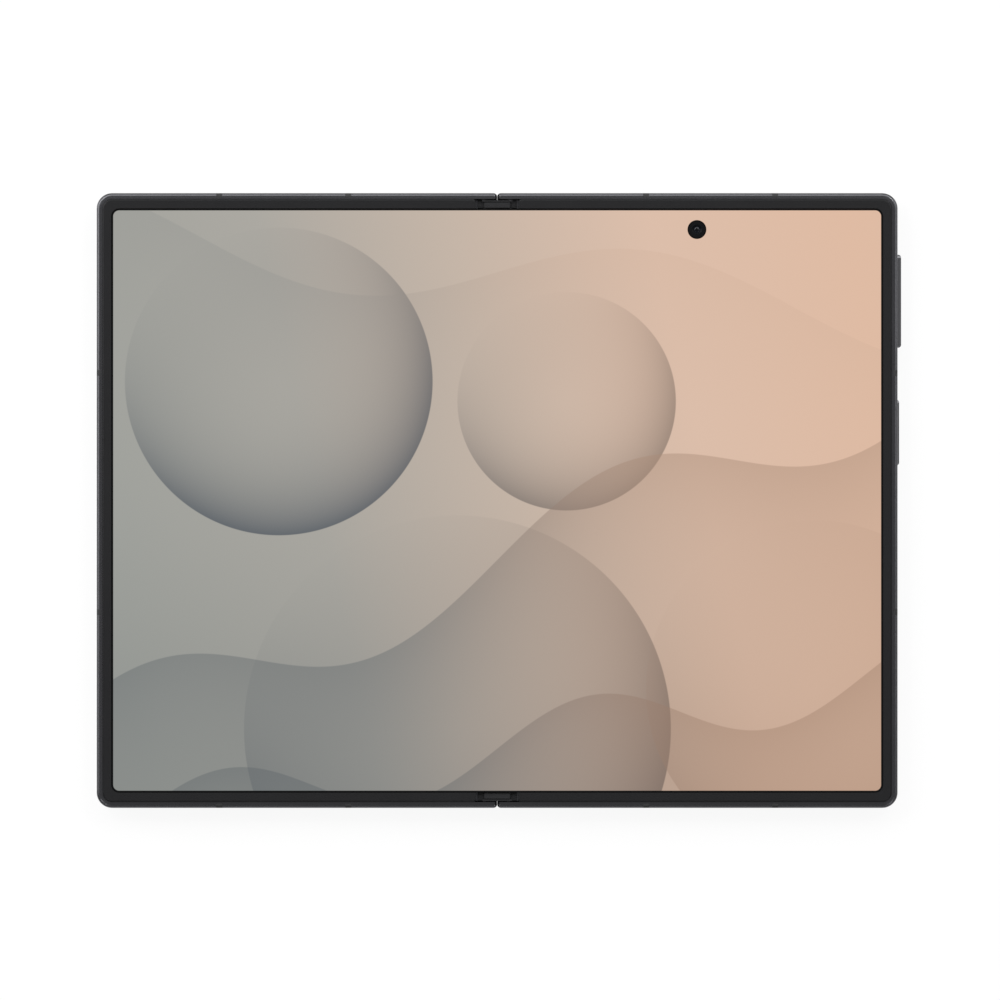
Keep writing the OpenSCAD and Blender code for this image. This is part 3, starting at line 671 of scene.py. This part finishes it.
def from_lens(place):
    """Distance from the axis of the nearer camera of the island, in millimetres."""
    x = place.make("ShaderNodeSeparateXYZ", {}, {0: place})
    return length(x - lens_x, (x.part(1) - pair_y).math("ABSOLUTE") - half_apart)


turned, surface, place = finish("turned_lens_ring", Metallic=1.0)
groove = ripple(from_lens(place), 0.09)
feed(surface, Base_Color=tint(groove, rgb(132, 132, 136), rgb(158, 158, 162)),
     Roughness=groove.spread(0.18, 0.3), Normal=dents(groove, 0.12, 0.01))
wear(["lens_rings"], turned)

clear_radius = 3.5
lens_cover, surface, place = finish("coated_lens_glass", IOR=1.5, Transmission_Weight=1.0,
                                    Specular_IOR_Level=0.35)
mask = from_lens(place).step(clear_radius - 0.05, clear_radius + 0.05)
sheen = grain(place, 0.4, 2.0)
feed(surface, Base_Color=tint(mask, rgb(250, 251, 253), rgb(4, 4, 5)), Roughness=sheen.spread(0.0, 0.02))
wear(["lens_glasses"], lens_cover)


def bulge(radius, foot, rise, steps):
    """Outline of a lens with a flat foot and a domed face. The rise is negative if it faces the back."""
    angles = [math.pi / 2 * k / steps for k in range(steps + 1)]
    return [(radius * math.sin(a), foot + rise * math.cos(a)) for a in angles] + [(0, foot)]


element_coat, surface, place = finish("lens_element_coated", IOR=1.7, Coat_IOR=1.9, Coat_Roughness=0.02)
# The element is dark in its middle. Round it, violet and then teal are painted into its colour as painted
# reflection of the coating. The coat over it gives the real gloss, thinner towards the edge.
radius = from_lens(place)
sheen_past_dark_middle = radius.step(0.55, 0.7)
outer_coat_and_painted_sheen = radius.step(0.7, 1.7)
middle_and_purple_painted_sheen = tint(sheen_past_dark_middle, rgb(4, 4, 6), rgb(26, 20, 48))
feed(surface, Base_Color=tint(outer_coat_and_painted_sheen, middle_and_purple_painted_sheen, rgb(20, 44, 52)), Roughness=outer_coat_and_painted_sheen.spread(0.03, 0.08),
     Coat_Weight=outer_coat_and_painted_sheen.spread(1.0, 0.7))
element = lathe("lens_elements", bulge(2.0, 1.72, -0.62, 12))
elements = copies("lens_elements", element,
                  [(lens_x, pair_y + half_apart, 0.0), (lens_x, pair_y - half_apart, 0.0)], smooth=True)
elements.data.materials.append(element_coat)
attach(elements, "main_half")

wear(["camera_modules", "cover_camera", "main_speaker", "cover_speaker"],
     moulded("module_black", rgb(26, 26, 29), rgb(38, 38, 41), 0.5))


def from_axis(place, axis_x, axis_y):
    """Distance from an upright axis, in millimetres."""
    x = place.make("ShaderNodeSeparateXYZ", {}, {0: place})
    return length(x - axis_x, x.part(1) - axis_y)


flash_x, flash_y, _ = middle("flash_lens")
amber, surface, place = finish("flash_lens_plastic", IOR=1.49, Coat_Roughness=0.08)
rings = ripple(from_axis(place, flash_x, flash_y), 0.5)
feed(surface, Base_Color=tint(rings, rgb(226, 214, 176), rgb(246, 240, 222)),
     Roughness=rings.spread(0.15, 0.3), Coat_Weight=rings.spread(0.6, 0.9),
     Normal=dents(rings, 0.25, 0.03))
wear(["flash_lens"], amber)

# ---- inner camera ----
# A black barrel looks up through the hole in the display. A small coated lens bulges from its middle,
# inside a collar of matt plastic.

barrel, surface, place = finish("inner_camera_barrel", IOR=1.5, Specular_IOR_Level=0.1)
radius = from_axis(place, camera_x, camera_y)
glass_spot = 1 - radius.step(0.4, 0.5)
collar = radius.step(1.2, 1.3)
well = tint(collar, rgb(7, 9, 12), rgb(9, 9, 10))
feed(surface, Base_Color=tint(glass_spot, well, rgb(14, 18, 26)),
     Roughness=glass_spot.spread(0.42, 0.05), Coat_Weight=glass_spot)
wear(["selfie_camera"], barrel)

camera_eye, surface, place = finish("inner_camera_lens", IOR=1.5, Specular_IOR_Level=0.16,
                                    Coat_Roughness=0.1)
# The lens is dark in its middle and painted a lighter blue towards its rim, as painted reflection of its
# coating. The same mask thins the real coat and raises the roughness there.
coat_and_painted_rim_sheen = from_axis(place, camera_x, camera_y).step(0.3, 0.62)
feed(surface, Base_Color=tint(coat_and_painted_rim_sheen, rgb(4, 6, 10), rgb(16, 22, 32)),
     Roughness=coat_and_painted_rim_sheen.spread(0.12, 0.2), Coat_Weight=coat_and_painted_rim_sheen.spread(0.25, 0.1))
eye_lens = copies("inner_camera_lens", lathe("inner_camera_lens", bulge(0.66, 5.42, 0.3, 8)),
                  [(camera_x, camera_y, 0.0)], smooth=True)
eye_lens.data.materials.append(camera_eye)
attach(eye_lens, "main_half")

# ---- cover display ----
# Flat toughened glass covers the outer display, which is off. Black ink on its inner side frames the
# panel, and leaves a clear spot through which the outer camera looks.

cover_camera_x, cover_camera_y, _ = middle("cover_camera")
panel_x, panel_half_wide, panel_half_high = -44.35, 33.5, 59.2
outer_glass, surface, place = finish("cover_display_glass", IOR=1.5, Transmission_Weight=1.0,
                                     Specular_IOR_Level=0.4)
across = place.make("ShaderNodeSeparateXYZ", {}, {0: place})
edge_x = (across - panel_x).math("ABSOLUTE") - panel_half_wide
edge_y = across.part(1).math("ABSOLUTE") - panel_half_high
ink = edge_x.math("MAXIMUM", edge_y).step(-0.08, 0.08)
radius = from_axis(place, cover_camera_x, cover_camera_y)
ring = radius.step(1.4, 1.5) * (1 - radius.step(2.2, 2.3))
wipe = grain(place, 0.05, 3.0, 0.55)
feed(surface, Base_Color=tint(ink.math("MAXIMUM", ring), rgb(232, 234, 238), rgb(4, 4, 5)),
     Roughness=wipe.spread(0.02, 0.05))
wear(["cover_glass"], outer_glass)

panel_off, surface, place = finish("outer_panel_off", IOR=1.5, Specular_IOR_Level=0.4)
pixel_pitch = 0.06
grid = ripple(place.make("ShaderNodeSeparateXYZ", {}, {0: place}), pixel_pitch)
feed(surface, Base_Color=tint(grid, rgb(17, 18, 23), rgb(25, 27, 33)), Roughness=grid.spread(0.2, 0.3))
wear(["cover_display"], panel_off)

cover_eye, surface, place = finish("cover_camera_lens", IOR=1.6, Coat_IOR=1.8, Coat_Roughness=0.03)
# The lens is dark in its middle and painted a lighter blue towards its rim, as painted reflection of its
# coating. The same mask thins the real coat and raises the roughness there.
coat_and_painted_rim_sheen = from_axis(place, cover_camera_x, cover_camera_y).step(0.3, 0.7)
feed(surface, Base_Color=tint(coat_and_painted_rim_sheen, rgb(6, 8, 12), rgb(22, 30, 44)),
     Roughness=coat_and_painted_rim_sheen.spread(0.04, 0.1), Coat_Weight=coat_and_painted_rim_sheen.spread(0.9, 0.5))
cover_lens = copies("cover_camera_lens", lathe("cover_camera_lens", bulge(0.72, 2.5, -0.3, 8)),
                    [(cover_camera_x, cover_camera_y, 0.0)], smooth=True)
cover_lens.data.materials.append(cover_eye)
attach(cover_lens, "cover_half")

# ---- boards ----
# Glass fibre boards under green solder mask. The copper under the mask shows as faint paler patches.
# They are screwed and clipped to the decks of the halves.

solder_mask, surface, place = finish("board_solder_mask", IOR=1.55, Coat_Roughness=0.25)
cells = place.make("ShaderNodeTexVoronoi", {"distance": "MANHATTAN", "feature": "F1"},
                   {"Vector": place, "Scale": 0.9, "Randomness": 0.7})
trace = cells.step(0.28, 0.32)
feed(surface, Base_Color=tint(trace, rgb(22, 70, 44), rgb(36, 96, 60)),
     Roughness=trace.spread(0.32, 0.42), Coat_Weight=trace.spread(0.2, 0.4),
     Normal=dents(trace, 0.2, 0.02))
wear(["mainboard", "sub_board", "cover_board"], solder_mask)

# ---- batteries, coil and magnets ----
# The batteries are pouches of laminated foil, glued into their bays. The charging coil is wound flat
# from enamelled copper, and the magnets that hold the phone shut are nickel plated.

foil, surface, place = finish("battery_pouch_foil", Metallic=0.7)
creases = grain(place, 0.35, 4.0, 0.6)
feed(surface, Base_Color=tint(creases, rgb(52, 52, 55), rgb(70, 70, 73)),
     Roughness=creases.spread(0.4, 0.58), Normal=dents(creases, 0.35, 0.15))
wear(["main_battery", "cover_battery"], foil)

coil_x, coil_y, _ = middle("charging_coil")
wire_width = 0.4
winding, surface, place = finish("enamelled_coil_copper", Metallic=0.9, Coat_Roughness=0.12)
turns = ripple(from_axis(place, coil_x, coil_y), wire_width)
feed(surface, Base_Color=tint(turns, rgb(120, 62, 30), rgb(186, 108, 58)),
     Roughness=turns.spread(0.22, 0.38), Coat_Weight=turns.spread(0.3, 0.6),
     Normal=dents(turns, 0.4, 0.04))
wear(["charging_coil"], winding)

wear(["closing_magnets_main", "closing_magnets_cover"],
     bright("nickel_plate", rgb(168, 166, 160), rgb(196, 194, 188), 0.22))

# ---- studio ----
# The phone lies open on a white table. Broad soft windows stand behind it and at its sides, four small
# lamps above the corners put a line of light on the rounded edges, and the camera looks straight down.

table_white, surface, place = finish("table_white", Roughness=0.9, Base_Color=(0.9, 0.9, 0.9, 1))
tree = table_white.node_tree
# the table glows only for rays that come from the camera, a mirror or glass, and keeps its shadow
camera_ray = Value(tree, tree.nodes.new("ShaderNodeLightPath").outputs["Is Camera Ray"])
glossy_ray = camera_ray.part(3)
transmission_ray = camera_ray.part(6)
seen = (camera_ray + glossy_ray + transmission_ray).math("MINIMUM", 1)
paper = seen.make("ShaderNodeEmission", {}, {"Color": (1, 1, 1, 1), "Strength": 1.0})
diffuse = Value(tree, surface.outputs[0])
glow_share = 0.9
floor_mix = seen.make("ShaderNodeMixShader", {}, {0: seen * glow_share, 1: diffuse, 2: paper})
tree.links.new(floor_mix.socket, tree.nodes["Material Output"].inputs["Surface"])
fibres = grain(place, 0.4, 3.0)
feed(surface, Normal=dents(fibres, 0.05, 0.1))

table_sheet = bpy.data.meshes.new("table")
half_table = 3.0
corners = [(-half_table, -half_table, 0), (half_table, -half_table, 0), (half_table, half_table, 0),
           (-half_table, half_table, 0)]
table_sheet.from_pydata(corners, [], [(0, 1, 2, 3)])
table_sheet.materials.append(table_white)
table_top = bpy.data.objects.new("table", table_sheet)
table_gap = 0.0002
table_top.location.z = cad_box[0][2] - table_gap
bpy.context.scene.collection.objects.link(table_top)

room = bpy.data.worlds.new("soft_room")
room.use_nodes = True
room.node_tree.nodes["Background"].inputs["Color"].default_value = (1, 1, 1, 1)
room.node_tree.nodes["Background"].inputs["Strength"].default_value = 0.24
bpy.context.scene.world = room

# lamps: place, width and height in metres, and power in watts
for name, place, size, watts in [("window_behind", (0.0, 1.1, 1.05), (2.2, 1.0), 20.0),
                                 ("window_left", (-1.2, 0.45, 0.75), (0.9, 1.5), 13.0),
                                 ("window_right", (1.2, 0.45, 0.75), (0.9, 1.5), 7.0),
                                 ("fill_front", (0.0, -1.5, 0.9), (2.0, 0.7), 2.8),
                                 ("corner_back_left", (-0.65, 0.65, 1.4), (0.14, 0.14), 2.2),
                                 ("corner_back_right", (0.65, 0.65, 1.4), (0.14, 0.14), 2.2),
                                 ("corner_front_left", (-0.65, -0.65, 1.4), (0.14, 0.14), 1.6),
                                 ("corner_front_right", (0.65, -0.65, 1.4), (0.14, 0.14), 1.6)]:
    lamp = bpy.data.lights.new(name, "AREA")
    lamp.shape = "RECTANGLE"
    lamp.size, lamp.size_y = size
    lamp.energy = watts
    stand = bpy.data.objects.new(name, lamp)
    stand.location = place
    stand.rotation_euler = (-Vector(place)).to_track_quat("-Z", "Y").to_euler()
    bpy.context.scene.collection.objects.link(stand)

# the photo is a thousand pixels wide, and its middle lies a little right of the fold and above it
pixels_per_mm = 4.9647
photo_width = 1.0 / pixels_per_mm
photo_middle_x, photo_middle_y = 0.000574, 0.00011
eye_height = 1.6
camera = bpy.data.cameras.new("overhead")
camera.sensor_width = 36.0
camera.lens = camera.sensor_width * eye_height / photo_width
overhead = bpy.data.objects.new("overhead", camera)
overhead.location = (photo_middle_x, photo_middle_y, cad_box[1][2] + eye_height)
bpy.context.scene.collection.objects.link(overhead)
bpy.context.scene.camera = overhead
bpy.context.scene.view_settings.view_transform = "Standard"
